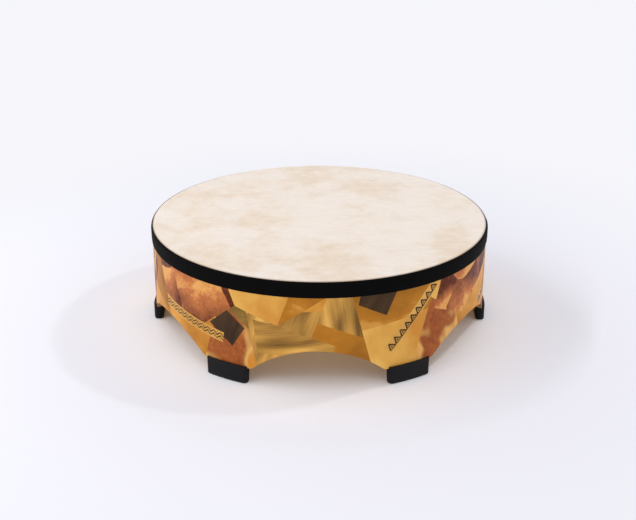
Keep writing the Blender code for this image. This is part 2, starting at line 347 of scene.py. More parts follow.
def mottled_film():
    """Polyester drum film printed like thin skin: cream with faint tan clouds and a satin face."""
    constants = {
        "IOR": 1.58,
        "Subsurface Weight": 0.20,
        "Subsurface Radius": (1.0, 0.75, 0.45),
        "Subsurface Scale": 0.002,
    }
    material, tree, shader = new_material("mottled_polyester_film", constants)
    place = add(tree, "TexCoord", {}, "Object")

    # Broad clouds 120 mm across, blots of 30 mm inside them, and a mottle of 9 mm
    clouds = add(tree, "TexNoise", {"Vector": place, "Scale": 1 / 0.120, "Detail": 6.0, "Roughness": 0.62})
    cloud_range = {"Value": clouds, "From Min": 0.40, "From Max": 0.66}
    cloudy = add(tree, "MapRange", cloud_range, interpolation_type="SMOOTHSTEP")
    blots = add(tree, "TexNoise", {"Vector": place, "Scale": 1 / 0.030, "Detail": 6.0, "Roughness": 0.65})
    blotted = add(tree, "MapRange", {"Value": blots, "From Min": 0.42, "From Max": 0.78})
    mottle = add(tree, "TexNoise", {"Vector": place, "Scale": 1 / 0.009, "Detail": 4.0, "Roughness": 0.7})
    mottled = add(tree, "MapRange", {"Value": mottle, "From Min": 0.35, "From Max": 0.75, "To Max": 0.35})
    spots = add(tree, "Math", {0: cloudy, 1: blotted}, operation="MULTIPLY")
    creams = {"Factor": cloudy, "A": linear("#F2E6D9"), "B": linear("#EAD8C3")}
    colour = add(tree, "Mix", creams, data_type="RGBA")
    colour = add(tree, "Mix", {"Factor": spots, "A": colour, "B": linear("#E0C9AE")}, data_type="RGBA")
    colour = add(tree, "Mix", {"Factor": mottled, "A": colour, "B": linear("#E4D0B8")}, data_type="RGBA")

    # Fibres 3 mm wide and 50 mm long, a little askew
    fibre_lay = {"Vector": place, "Rotation": (0, 0, 0.2), "Scale": (1 / 0.050, 1 / 0.003, 1)}
    fibre_place = add(tree, "Mapping", fibre_lay)
    fibres = add(tree, "TexNoise", {"Vector": fibre_place, "Scale": 1.0, "Detail": 4.0})
    fibrous = add(tree, "MapRange", {"Value": fibres, "From Min": 0.40, "From Max": 0.80, "To Max": 0.16})
    colour = add(tree, "Mix", {"Factor": fibrous, "A": colour, "B": linear("#CDB592")}, data_type="RGBA")

    # Painted shade: browner where the film bends over the rim, just inside the band
    radius = axis_distance(tree, place)
    edge_range = {"Value": radius, "From Min": EDGE_SHADE_START, "From Max": EDGE_SHADE_END, "To Max": 0.8}
    edge = add(tree, "MapRange", edge_range, interpolation_type="SMOOTHSTEP")
    colour = add(tree, "Mix", {"Factor": edge, "A": colour, "B": linear("#94754F")}, data_type="RGBA")
    roughness = add(tree, "MapRange", {"Value": blots, "To Min": 0.48, "To Max": 0.60})
    tooth = add(tree, "TexNoise", {"Vector": place, "Scale": 1 / 0.0015, "Detail": 2.0})
    finish_material(tree, shader, colour, roughness, tooth, distance=0.0001, strength=0.15)
    return material


def brushed_tone(tree, grain, cloudy):
    """Tone of the flat and brushed papers, and the fine streaks in it."""
    brushing = add(tree, "Attribute", {}, "Alpha", attribute_name="paper_deep")
    across = add(tree, "SeparateXYZ", {"Vector": add(tree, "UVMap", {}, uv_map="sheen")}, "X")
    shaded = add(tree, "Mix", {"Factor": 0.45, "A": across, "B": cloudy})
    shaded = add(tree, "MapRange", {"Value": shaded, "From Min": 0.18, "From Max": 0.82})

    # Sweeps 22 mm wide and 120 mm long under streaks 1.5 mm wide and 60 mm long
    sweep_place = add(tree, "Mapping", {"Vector": grain, "Scale": (1 / 0.120, 1 / 0.022, 1)})
    sweeps = add(tree, "TexNoise", {"Vector": sweep_place, "Scale": 1.0, "Detail": 1.0, "Distortion": 0.3})
    streak_place = add(tree, "Mapping", {"Vector": grain, "Scale": (1 / 0.060, 1 / 0.0015, 1)})
    streaks = add(tree, "TexNoise", {"Vector": streak_place, "Scale": 1.0, "Detail": 3.0, "Roughness": 0.6})
    brushed = add(tree, "Mix", {"Factor": 0.25, "A": sweeps, "B": streaks})
    brushed = add(tree, "MapRange", {"Value": brushed, "From Min": 0.32, "From Max": 0.68})
    return add(tree, "Mix", {"Factor": brushing, "A": shaded, "B": brushed}), streaks


def folded_tone(tree, grain, clouds, mottled):
    """Tone of folded foil, whose facets are each shaded their own way, and the bright creases in it."""
    bend = add(tree, "TexNoise", {"Vector": grain, "Scale": 1 / 0.070, "Detail": 2.0}, "Color")
    bending = {0: bend, 1: (FOIL_BEND, FOIL_BEND, 0.0), 2: grain}
    bent = add(tree, "VectorMath", bending, operation="MULTIPLY_ADD")
    facet = {"Vector": bent, "Scale": 1 / FOIL_FACET}
    centre = add(tree, "TexVoronoi", facet, "Position", voronoi_dimensions="2D")
    pick = add(tree, "TexVoronoi", facet, "Color", voronoi_dimensions="2D")
    from_centre = add(tree, "VectorMath", {0: bent, 1: centre}, operation="SUBTRACT")
    slope_way = add(tree, "VectorMath", {0: pick, 1: (0.5, 0.5, 0.5)}, operation="SUBTRACT")
    slope = add(tree, "VectorMath", {0: from_centre, 1: slope_way}, "Value", operation="DOT_PRODUCT")
    shading = {0: slope, 1: FOIL_SHADE, 2: 0.5}
    tilted = add(tree, "Math", shading, operation="MULTIPLY_ADD", use_clamp=True)
    folded = add(tree, "Mix", {"Factor": 0.40, "A": tilted, "B": clouds})
    folded = add(tree, "MapRange", {"Value": folded, "From Min": 0.22, "From Max": 0.74})
    folded = add(tree, "Mix", {"Factor": 0.30, "A": folded, "B": mottled})
    folded = add(tree, "MapRange", {"Value": folded, "From Min": 0.12, "From Max": 0.84})

    # Creases 5 mm wide that fade out here and there
    edge = add(tree, "TexVoronoi", facet, "Distance", voronoi_dimensions="2D", feature="DISTANCE_TO_EDGE")
    crease = add(tree, "MapRange", {"Value": edge, "From Min": 0.03, "From Max": 0.0, "To Max": 0.5})
    broken = add(tree, "MapRange", {"Value": clouds, "From Min": 0.48, "From Max": 0.60})
    return folded, add(tree, "Math", {0: crease, 1: broken}, operation="MULTIPLY")


def stain_share(tree, spread, start, end):
    """How fully a stain covers a place of a stained paper, rising between two values of its spread."""
    staining = add(tree, "Attribute", {}, "Alpha", attribute_name="motif")
    stain_range = {"Value": spread, "From Min": start, "From Max": end}
    share = add(tree, "MapRange", stain_range, interpolation_type="SMOOTHSTEP")
    return add(tree, "Math", {0: share, 1: staining}, operation="MULTIPLY")


def stained(tree, grain, colour, mottled):
    """A colour under soft stains 110 mm across: copper inside a bright rim."""
    spread = add(tree, "TexNoise", {"Vector": grain, "Scale": 1 / 0.110, "Detail": 3.0, "Distortion": 0.6})
    rim = stain_share(tree, spread, 0.40, 0.47)
    core = stain_share(tree, spread, 0.46, 0.55)
    colour = add(tree, "Mix", {"Factor": rim, "A": colour, "B": linear("#F5BE6A")}, data_type="RGBA")
    coppers = {"Factor": mottled, "A": linear("#8E3F1C"), "B": linear("#C97436")}
    copper = add(tree, "Mix", coppers, data_type="RGBA")
    return add(tree, "Mix", {"Factor": core, "A": colour, "B": copper}, data_type="RGBA")


def woven(tree, grain, colour, mottle):
    """A colour printed a little darker in a canvas weave, with threads 1.2 mm apart, and in a fine mottle."""
    weave = plain_weave(tree, grain, 0.0012, 0.8)
    canvas = add(tree, "Mix", {"Factor": 0.5, "A": weave, "B": mottle})
    canvas_range = {"Value": canvas, "From Min": 0.15, "From Max": 0.75, "To Min": 0.18, "To Max": 0.0}
    darker = add(tree, "MapRange", canvas_range)
    return add(tree, "Mix", {"Factor": darker, "A": colour, "B": linear("#5A3E1C")}, data_type="RGBA")


def paper_colour(tree, grain):
    """The papers' colour without the borders, and the fine streaks in it."""
    light = add(tree, "Attribute", {}, "Color", attribute_name="paper_light")
    folding = add(tree, "Attribute", {}, "Alpha", attribute_name="paper_light")
    deep = add(tree, "Attribute", {}, "Color", attribute_name="paper_deep")

    # Clouds 50 mm across and a mottle of 7 mm
    clouds = add(tree, "TexNoise", {"Vector": grain, "Scale": 1 / 0.050, "Detail": 4.0, "Roughness": 0.55})
    cloudy = add(tree, "MapRange", {"Value": clouds, "From Min": 0.30, "From Max": 0.70})
    mottle = add(tree, "TexNoise", {"Vector": grain, "Scale": 1 / 0.007, "Detail": 5.0, "Roughness": 0.7})
    mottled = add(tree, "MapRange", {"Value": mottle, "From Min": 0.36, "From Max": 0.64})
    mottled = add(tree, "Mix", {"Factor": 0.5, "A": cloudy, "B": mottled})

    tone, streaks = brushed_tone(tree, grain, cloudy)
    folded, crease = folded_tone(tree, grain, clouds, mottled)
    tone = add(tree, "Mix", {"Factor": folding, "A": tone, "B": folded})
    colour = add(tree, "Mix", {"Factor": tone, "A": deep, "B": light}, data_type="RGBA")
    sheen = add(tree, "MapRange", {"Value": tone, "From Min": 0.72, "From Max": 1.0, "To Max": 0.55})
    colour = add(tree, "Mix", {"Factor": sheen, "A": colour, "B": linear("#FFCA6C")}, data_type="RGBA")
    crease = add(tree, "Math", {0: crease, 1: folding}, operation="MULTIPLY")
    colour = add(tree, "Mix", {"Factor": crease, "A": colour, "B": linear("#F0B574")}, data_type="RGBA")
    colour = stained(tree, grain, colour, mottled)
    return woven(tree, grain, colour, mottle), streaks


def border_lines(tree):
    """Lines of the printed borders: triangles with a dot, chevrons, and diamonds with a dot."""
    border = add(tree, "UVMap", {}, uv_map="border")
    motif = add(tree, "Attribute", {}, "Vector", attribute_name="motif")
    along = add(tree, "SeparateXYZ", {"Vector": border}, "X")
    across = add(tree, "SeparateXYZ", {"Vector": border}, "Y")

    # One motif runs from 0 to 1 along the strip, and from 0 to 1 across it between the margins
    across_range = {"Value": across, "From Min": MOTIF_MARGIN, "From Max": 1.0 - MOTIF_MARGIN}
    height = add(tree, "MapRange", across_range, clamp=False)
    wave = add(tree, "Math", {0: along, 1: 0.5}, operation="PINGPONG")
    from_middle = add(tree, "Math", {0: height, 1: 0.5}, operation="SUBTRACT")
    from_middle = add(tree, "Math", {0: from_middle}, operation="ABSOLUTE")
    inside = add(tree, "Math", {0: from_middle, 1: 0.5}, operation="LESS_THAN")

    # Triangles: two slanted sides, a base line and a dot
    side = add(tree, "Math", {0: wave, 1: 2.0, 2: -TRIANGLE_DROP}, operation="MULTIPLY_ADD")
    sides = add(tree, "Math", {0: height, 1: side, 2: TRIANGLE_LINE}, operation="COMPARE")
    base = add(tree, "Math", {0: height, 1: TRIANGLE_BASE}, operation="LESS_THAN")
    to_peak = add(tree, "Math", {0: 0.5, 1: wave}, operation="SUBTRACT")
    to_dot = add(tree, "Math", {0: height, 1: TRIANGLE_DOT_PLACE}, operation="SUBTRACT")
    dot_place = add(tree, "CombineXYZ", {"X": to_peak, "Y": to_dot})
    dot_reach = add(tree, "VectorMath", {0: dot_place}, operation="LENGTH")
    dot = add(tree, "Math", {0: dot_reach, 1: TRIANGLE_DOT}, operation="LESS_THAN")
    triangles = add(tree, "Math", {0: sides, 1: base}, operation="MAXIMUM")
    triangles = add(tree, "Math", {0: triangles, 1: dot}, operation="MAXIMUM")

    # Chevrons: two zigzag lines
    climb = add(tree, "Math", {0: height, 1: wave}, operation="SUBTRACT")
    climb = add(tree, "Math", {0: climb, 1: CHEVRON_SPACING}, operation="PINGPONG")
    chevrons = add(tree, "Math", {0: climb, 1: CHEVRON_LINE}, operation="LESS_THAN")

    # Diamonds: an outline and a dot
    diamond = add(tree, "Math", {0: to_peak, 1: from_middle}, operation="ADD")
    outline = add(tree, "Math", {0: diamond, 1: DIAMOND_REACH, 2: DIAMOND_LINE}, operation="COMPARE")
    middle = add(tree, "Math", {0: diamond, 1: DIAMOND_DOT}, operation="LESS_THAN")
    diamonds = add(tree, "Math", {0: outline, 1: middle}, operation="MAXIMUM")

    shapes = add(tree, "CombineXYZ", {"X": triangles, "Y": chevrons, "Z": diamonds})
    lines = add(tree, "VectorMath", {0: shapes, 1: motif}, "Value", operation="DOT_PRODUCT")
    return add(tree, "Math", {0: lines, 1: inside}, operation="MULTIPLY")


def printed_covering():
    """Vinyl covering printed with brushed and folded metal papers and dark-lined borders, satin all over."""
    material, tree, shader = new_material("satin_printed_vinyl", {"IOR": 1.50, "Specular IOR Level": 0.12})
    grain = add(tree, "UVMap", {}, uv_map="grain")
    colour, streaks = paper_colour(tree, grain)
    lines = border_lines(tree)
    wear = add(tree, "TexNoise", {"Vector": grain, "Scale": 1 / 0.0040, "Detail": 3.0})
    wear_range = {"Value": wear, "From Min": 0.36, "From Max": 0.52, "To Min": 0.82, "To Max": 0.98}
    inked = add(tree, "MapRange", wear_range)
    ink = add(tree, "Math", {0: lines, 1: inked}, operation="MULTIPLY")
    colour = add(tree, "Mix", {"Factor": ink, "A": colour, "B": linear("#3A240C")}, data_type="RGBA")
    roughness = add(tree, "MapRange", {"Value": streaks, "To Min": 0.34, "To Max": 0.48})
    finish_material(tree, shader, colour, roughness, streaks, distance=0.0001, strength=0.12)
    return material


def wound_fibre():
    """Tube wound from brown wood-fibre plies: ply lines on the cut edges and a matt felted face inside."""
    material, tree, shader = new_material("wound_wood_fibre", {"IOR": 1.50})
    place = add(tree, "TexCoord", {}, "Object")

    # Plies 0.9 mm thick, with a felt of 3 mm over them
    ply_place = add(tree, "Math", {0: axis_distance(tree, place), 1: 1 / 0.0009}, operation="MULTIPLY")
    plies = add(tree, "TexNoise", {"W": ply_place, "Scale": 1.0, "Detail": 1.0}, noise_dimensions="1D")
    felt = add(tree, "TexNoise", {"Vector": place, "Scale": 1 / 0.0030, "Detail": 5.0, "Roughness": 0.7})
    tone = add(tree, "Mix", {"Factor": 0.5, "A": plies, "B": felt})
    tone = add(tree, "MapRange", {"Value": tone, "From Min": 0.30, "From Max": 0.72})
    browns = {"Factor": tone, "A": linear("#7A5630"), "B": linear("#BA8C56")}
    colour = add(tree, "Mix", browns, data_type="RGBA")
    roughness = add(tree, "MapRange", {"Value": felt, "To Min": 0.70, "To Max": 0.95})
    finish_material(tree, shader, colour, roughness, tone, distance=0.0004, strength=0.5)
    return material


def coated_tape():
    """Black woven tape with a thin coating: fine threads and a soft sheen."""
    material, tree, shader = new_material("coated_woven_tape", {"IOR": 1.50, "Specular IOR Level": 0.06})
    run = add(tree, "UVMap", {}, uv_map="ring")

    # Threads 1.4 mm apart, a little coarser than the real ones, so that they show
    weave = plain_weave(tree, run, 0.0014, 0.6)
    place = add(tree, "TexCoord", {}, "Object")
    rub = add(tree, "TexNoise", {"Vector": place, "Scale": 1 / 0.006, "Detail": 4.0})
    tone = add(tree, "Mix", {"Factor": 0.5, "A": weave, "B": rub})
    blacks = {"Factor": tone, "A": linear("#020202"), "B": linear("#080808")}
    colour = add(tree, "Mix", blacks, data_type="RGBA")
    roughness = add(tree, "MapRange", {"Value": rub, "To Min": 0.62, "To Max": 0.85})
    finish_material(tree, shader, colour, roughness, weave, distance=0.0002, strength=0.5)
    return material


def moulded_rubber():
    """Black rubber from a grained mould: a pebble of 0.9 mm, and dust on the lowest 6 mm."""
    material, tree, shader = new_material("moulded_black_rubber", {"IOR": 1.52, "Specular IOR Level": 0.15})
    place = add(tree, "TexCoord", {}, "Object")
    pebble = add(tree, "TexVoronoi", {"Vector": place, "Scale": 1 / 0.0009})
    scuffs = add(tree, "TexNoise", {"Vector": place, "Scale": 1 / 0.007, "Detail": 5.0, "Roughness": 0.7})
    height = add(tree, "SeparateXYZ", {"Vector": place}, "Z")
    low = add(tree, "MapRange", {"Value": height, "From Min": 0.006, "From Max": 0.0, "To Max": 0.6})
    dusty = add(tree, "Math", {0: low, 1: scuffs}, operation="MULTIPLY")
    blacks = {"Factor": scuffs, "A": linear("#0B0B0C"), "B": linear("#17171A")}
    colour = add(tree, "Mix", blacks, data_type="RGBA")
    colour = add(tree, "Mix", {"Factor": dusty, "A": colour, "B": linear("#33312F")}, data_type="RGBA")
    roughness = add(tree, "MapRange", {"Value": scuffs, "To Min": 0.42, "To Max": 0.68})
    finish_material(tree, shader, colour, roughness, pebble, distance=0.0002, strength=0.35)
    return material


def angle_of(place):
    """Angle of a point round the drum, from the front towards the right."""
    return math.degrees(math.atan2(place.x, -place.y))


def turn_to(vert, angle):
    """Move a vertex round the drum's axis to an angle, at its own radius and height."""
    radius = math.hypot(vert.co.x, vert.co.y)
    vert.co.x = radius * math.sin(math.radians(angle))
    vert.co.y = -radius * math.cos(math.radians(angle))


def from_arch(angle):
    """The angle of the nearest arch's middle, and how far past it an angle lies."""
    middle = LEG_PITCH * round(angle / LEG_PITCH)
    return middle, angle - middle


def settle_column(angle, radius):
    """Shift an evenly spaced column so that one falls on each corner between an arch and a leg."""
    middle, past = from_arch(angle)
    columns = abs(past) / COLUMN_SWEEP
    reach = math.degrees(math.asin(HALF_SPAN / radius))
    if columns <= ARCH_COLUMNS:
        settled = reach * columns / ARCH_COLUMNS
    else:
        settled = reach + (HALF_PITCH - reach) * (columns - ARCH_COLUMNS) / LEG_COLUMNS
    return middle + math.copysign(settled, past)


def lower_edge(angle, radius):
    """Height of the shell's lower edge at an angle: a round arch, or a leg's shoulder."""
    aside = abs(radius * math.sin(math.radians(from_arch(angle)[1])))
    if aside >= HALF_SPAN:
        return SHOULDER_HEIGHT
    return ARCH_TOP - ARCH_RADIUS + math.sqrt(ARCH_RADIUS**2 - aside**2)


def between(first, last, share):
    """The value at a share of the way from the first to the last."""
    return first + (last - first) * share


def rim_point(reach, angle):
    """A point at a distance and an angle from the middle of the rounded rim, as (radius, height)."""
    turned = math.radians(angle)
    return EDGE_RADIUS + reach * math.cos(turned), EDGE_HEIGHT + reach * math.sin(turned)


def arc(reach, start, end):
    """Points of an arc about the middle of the rounded rim, as (radius, height)."""
    angles = [between(start, end, step / EDGE_STEPS) for step in range(EDGE_STEPS + 1)]
    return [rim_point(reach, angle) for angle in angles]


def revolve(points, columns, closed):
    """Spin (radius, height) points once round the drum, and keep how far each lies along the profile."""
    shape = bmesh.new()
    run = shape.verts.layers.float.new("run")
    verts = []
    length = 0.0
    for index, (radius, height) in enumerate(points):
        if index:
            length += math.dist(points[index - 1], points[index])
        vert = shape.verts.new((0.0, -radius, height))
        vert[run] = length
        verts.append(vert)
    edges = [shape.edges.new(pair) for pair in zip(verts, verts[1:])]
    if closed:
        edges.append(shape.edges.new((verts[-1], verts[0])))
    bmesh.ops.spin(
        shape,
        geom=verts + edges,
        cent=(0.0, 0.0, 0.0),
        axis=(0.0, 0.0, 1.0),
        dvec=(0.0, 0.0, 0.0),
        angle=math.tau,
        steps=columns,
        use_merge=True,
    )
    bmesh.ops.remove_doubles(shape, verts=shape.verts, dist=MERGE_DISTANCE)
    bmesh.ops.recalc_face_normals(shape, faces=shape.faces)
    return shape


def map_ring(shape):
    """Give a spun shape a map in metres: round the drum, and along the profile."""
    run = shape.verts.layers.float["run"]
    ring = shape.loops.layers.uv.new("ring")
    for face in shape.faces:
        middle = angle_of(face.calc_center_median())
        for loop in face.loops:
            angle = angle_of(loop.vert.co)
            angle -= FULL_TURN * round((angle - middle) / FULL_TURN)
            loop[ring].uv = (math.radians(angle) * SHELL_RADIUS, loop.vert[run])


def add_object(name, data):
    """Put an object with its data in the scene."""
    placed = bpy.data.objects.new(name, data)
    bpy.context.scene.collection.objects.link(placed)
    return placed


def place_piece(name, mesh, material, nodes):
    """Put a finished mesh in the scene for the CAD nodes that it stands for."""
    mesh.materials.clear()
    mesh.materials.append(material)
    piece = add_object(name, mesh)
    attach(piece, "root")
    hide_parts(*nodes)
    return piece


def to_mesh(name, shape):
    """Turn a bmesh into a mesh."""
    mesh = bpy.data.meshes.new(name)
    shape.to_mesh(mesh)
    shape.free()
    return mesh


def to_smooth_mesh(name, shape):
    """Turn a bmesh into a smooth mesh with its sharp edges kept."""
    mesh = to_mesh(name, shape)
    mesh.shade_smooth()
    mesh.set_sharp_from_angle(angle=math.radians(SHARP_ANGLE))
    return mesh


def build_core(material):
    """The wound wall: bearing edge, six arches, and a tongue under each leg for its boot."""
    round_radius = FILM_EDGE_ROUND - FILM_THICKNESS - GAP
    crest = EDGE_HEIGHT + round_radius
    points = [(CORE_INNER, crest - CREST_CHAMFER), (EDGE_RADIUS - CREST_WIDTH, crest)]
    points += arc(round_radius, 90.0, 0.0)
    points += [(CORE_OUTER, 0.0), (CORE_INNER, 0.0)]
    shape = revolve(points, SHELL_COLUMNS, True)
    for vert in shape.verts:
        radius = math.hypot(vert.co.x, vert.co.y)
        angle = settle_column(angle_of(vert.co), radius)
        turn_to(vert, angle)
        if vert.co.z < SHOULDER_HEIGHT:
            vert.co.z = lower_edge(angle, radius)
    tongue_reach = HALF_PITCH - (TONGUE_COLUMNS / LEG_COLUMNS) * (
        HALF_PITCH - math.degrees(math.asin(HALF_SPAN / CORE_INNER))
    )
    feet = []
    for face in shape.faces:
        middle = face.calc_center_median()
        level = max(vert.co.z for vert in face.verts) < SHOULDER_HEIGHT + MERGE_DISTANCE
        if level and abs(from_arch(angle_of(middle))[1]) > tongue_reach:
            feet.append(face)
    grown = bmesh.ops.extrude_face_region(shape, geom=feet)["geom"]
    for vert in grown:
        if isinstance(vert, bmesh.types.BMVert):
            vert.co.z = TONGUE_BOTTOM
    bmesh.ops.delete(shape, geom=feet, context="FACES")
    bmesh.ops.recalc_face_normals(shape, faces=shape.faces)
    map_ring(shape)
    wall = to_smooth_mesh("shell_wall", shape)
    place_piece("shell_wall", wall, material, ["shell_core"])


def build_head(material):
    """The film: flat across the shell, rounded over its edge, with a collar down the side."""
    inner_round = FILM_EDGE_ROUND - FILM_THICKNESS
    points = [(radius, HEAD_HEIGHT) for radius in FLAT_RINGS]
    points += arc(FILM_EDGE_ROUND, 90.0, 0.0)
    points += [(SHELL_RADIUS, COLLAR_BOTTOM), (SHELL_RADIUS - FILM_THICKNESS, COLLAR_BOTTOM)]
    points += arc(inner_round, 0.0, 90.0)
    points += [(radius, HEAD_HEIGHT - FILM_THICKNESS) for radius in FLAT_RINGS[::-1]]
    shape = revolve(points, RIM_COLUMNS, False)
    map_ring(shape)
    film = to_smooth_mesh("film_head", shape)
    place_piece("film_head", film, material, ["drum_head"])


def lap_rise(angle):
    """Share of the lap's thickness at an angle: a step up at its start, and a slow fall past its end."""
    if angle <= LAP_START or angle >= LAP_END + LAP_FADE:
        return 0.0
    if angle <= LAP_END:
        return 1.0
    return 1.0 - (angle - LAP_END) / LAP_FADE


def build_band(material):
    """The black strip over the film's edge, with its end lapped over its start at the right."""
    inner = FILM_EDGE_ROUND + GAP
    edge = SHELL_RADIUS + GAP + BAND_EDGE_THICKNESS
    points = []
    for step in range(EDGE_STEPS + 1):
        share = step / EDGE_STEPS
        thickness = between(BAND_LIP_THICKNESS, BAND_SIDE_THICKNESS, share)
        points.append(rim_point(inner + thickness, between(BAND_LIP_ANGLE, 0.0, share)))
    points.append((points[-1][0], BAND_BOTTOM + BAND_TAPER_HEIGHT))
    points.append((edge, BAND_BOTTOM + BAND_EDGE_ROUND))
    points.append((edge - BAND_EDGE_ROUND, BAND_BOTTOM))
    outer_count = len(points)
    points.append((SHELL_RADIUS + GAP, BAND_BOTTOM))
    points += arc(inner, 0.0, BAND_LIP_ANGLE)
    outer_length = sum(math.dist(*pair) for pair in zip(points, points[1:outer_count]))
    shape = revolve(points, RIM_COLUMNS, True)
    run = shape.verts.layers.float["run"]
    for vert in shape.verts:
        angle = angle_of(vert.co)
        if LAP_START < angle < LAP_START + LAP_STEP_REACH:
            turn_to(vert, LAP_START + LAP_STEP_SWEEP)
    moves = []
    for vert in shape.verts:
        rise = lap_rise(angle_of(vert.co))
        if rise and MERGE_DISTANCE < vert[run] < outer_length + MERGE_DISTANCE:
            moves.append((vert, Vector(vert.normal) * LAP_THICKNESS * rise))
    for vert, move in moves:
        vert.co += move
    map_ring(shape)
    band = to_smooth_mesh("edge_band", shape)
    place_piece("edge_band", band, material, ["rim_band"])


def build_boots(material):
    """The six boots: the CAD's shape with its loose triangles merged and its rounded edges smoothed."""
    for place in BOOT_PLACES:
        shape = bmesh.new()
        shape.from_mesh(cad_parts["boot_" + place].data)
        bmesh.ops.remove_doubles(shape, verts=shape.verts, dist=MERGE_DISTANCE)
        boot = to_smooth_mesh("rubber_foot_" + place, shape)
        piece = place_piece("rubber_foot_" + place, boot, material, ["boot_" + place])
        weighted = piece.modifiers.new("Flat faces stay flat", "WEIGHTED_NORMAL")
        weighted.keep_sharp = True


def lay_paper(shape, corners):
    """Cut the flat sheet along a patch's edges, and return the faces inside it."""
    places = [Vector((across / MM_PER_METRE, height / MM_PER_METRE, 0.0)) for across, height in corners]

    # The corners have to run anticlockwise
    area = sum(one.x * other.y - other.x * one.y for one, other in zip(places, places[1:] + places[:1]))
    if area < 0.0:
        places.reverse()
    low = min(place.x for place in places)
    high = max(place.x for place in places)
    inside = []
    for face in shape.faces:
        spread = [vert.co.x for vert in face.verts]
        if max(spread) > low and min(spread) < high:
            inside.append(face)
    for first, second in zip(places, places[1:] + places[:1]):
        along = second - first
        outward = Vector((along.y, -along.x, 0.0)).normalized()
        edges = {edge for face in inside for edge in face.edges}
        verts = {vert for face in inside for vert in face.verts}
        cut = bmesh.ops.bisect_plane(
            shape,
            geom=[*verts, *edges, *inside],
            dist=MERGE_DISTANCE,
            plane_co=first,
            plane_no=outward,
        )
        inside = [
            face
            for face in cut["geom"]
            if isinstance(face, bmesh.types.BMFace) and (face.calc_center_median() - first).dot(outward) < 0.0
        ]
    return inside


def fold_at(fold, height):
    """Where a fold stands at a height, in millimetres round the shell."""
    foot, top = fold
    return foot + (top - foot) * (height - FOLD_FOOT) / (FOLD_TOP - FOLD_FOOT)


def patchwork():
    """Every patch of the print in laying order: paper, grain angle, corners."""
    patches = []
    for (left, right), (upper, lower, left_cut, right_cut, grain) in zip(zip(FOLDS, FOLDS[1:]), COLUMNS):
        cut_left = (fold_at(left, left_cut), left_cut)
        cut_right = (fold_at(right, right_cut), right_cut)
        foot = [(left[0], FOLD_FOOT), (right[0], FOLD_FOOT)]
        top = [(right[1], FOLD_TOP), (left[1], FOLD_TOP)]
        patches.append((lower, grain, [*foot, cut_right, cut_left]))
        patches.append((upper, grain + 90.0, [cut_left, cut_right, *top]))
    patches.extend(PATCHES)
    return patches


def flat_sheet():
    """The covering laid flat, with places round the shell along x and heights along y, in metres."""
    shape = bmesh.new()

    # The grid runs from -1 to 1 both ways
    bmesh.ops.create_grid(shape, x_segments=SHELL_COLUMNS, y_segments=COVERING_ROWS, size=1.0)
    for vert in shape.verts:
        angle = settle_column(vert.co.x * FULL_TURN / 2.0, SHELL_RADIUS)
        low = lower_edge(angle, SHELL_RADIUS)
        share = (vert.co.y + 1.0) / 2.0
        vert.co = (math.radians(angle) * SHELL_RADIUS, between(low, COVERING_TOP, share), 0.0)
    return shape


def cut_patches(shape, patches):
    """Cut the flat sheet into patches and border strips, and number its faces by both."""
    patch = shape.faces.layers.int.new("patch")
    border = shape.faces.layers.int.new("border")
    for index, (_, _, corners) in enumerate(patches):
        for face in lay_paper(shape, corners):
            face[patch] = index
    for index, (_, start, end) in enumerate(BORDERS):
        start = Vector(start)
        end = Vector(end)
        along = end - start
        aside = Vector((-along.y, along.x)).normalized() * BORDER_WIDTH / 2.0
        for face in lay_paper(shape, [start - aside, end - aside, end + aside, start + aside]):
            face[border] = index + 1


def border_place(place, start, end):
    """Where a point of the sheet lies in a border, as motifs along it and a share of its width."""
    start = Vector(start) / MM_PER_METRE
    along = Vector(end) / MM_PER_METRE - start
    aside = Vector((-along.y, along.x)).normalized()
    motifs = max(1, round(along.length * MM_PER_METRE / BORDER_CELL))
    reach = (place - start).dot(along) / along.length_squared * motifs
    return reach, (place - start).dot(aside) * MM_PER_METRE / BORDER_WIDTH + 0.5


def print_sheet(shape, patches):
    """Give each face its paper's tones, and its places in the grain, in the patch and in the border."""
    patch = shape.faces.layers.int["patch"]
    border = shape.faces.layers.int["border"]
    grain_map = shape.loops.layers.uv.new("grain")
    sheen_map = shape.loops.layers.uv.new("sheen")
    border_map = shape.loops.layers.uv.new("border")
    light = shape.loops.layers.float_color.new("paper_light")
    deep = shape.loops.layers.float_color.new("paper_deep")
    motif = shape.loops.layers.float_color.new("motif")
    for face in shape.faces:
        paper, grain_angle, corners = patches[face[patch]]
        light_hex, deep_hex, folding, brushing, staining = PAPERS[paper]
        channels = (0.0, 0.0, 0.0)
        if face[border]:
            name, start, end = BORDERS[face[border] - 1]
            light_hex, deep_hex = BORDER_TONES
            folding, brushing, staining = (0.0, BORDER_BRUSHING, 0.0)
            channels = MOTIF_CHANNELS[name]
        turn = Matrix.Rotation(math.radians(-grain_angle), 2)
        spread = [(turn @ Vector(corner) / MM_PER_METRE).y for corner in corners]
        shift = Vector((PATCH_SHIFT * face[patch], 0.0))
        for loop in face.loops:
            place = Vector(loop.vert.co[:2])
            turned = turn @ place
            loop[grain_map].uv = turned + shift
            loop[sheen_map].uv = ((turned.y - min(spread)) / (max(spread) - min(spread)), 0.0)
            if face[border]:
                loop[border_map].uv = border_place(place, start, end)
            loop[light] = (*linear(light_hex)[:3], folding)
            loop[deep] = (*linear(deep_hex)[:3], brushing)
            loop[motif] = (*channels, staining)


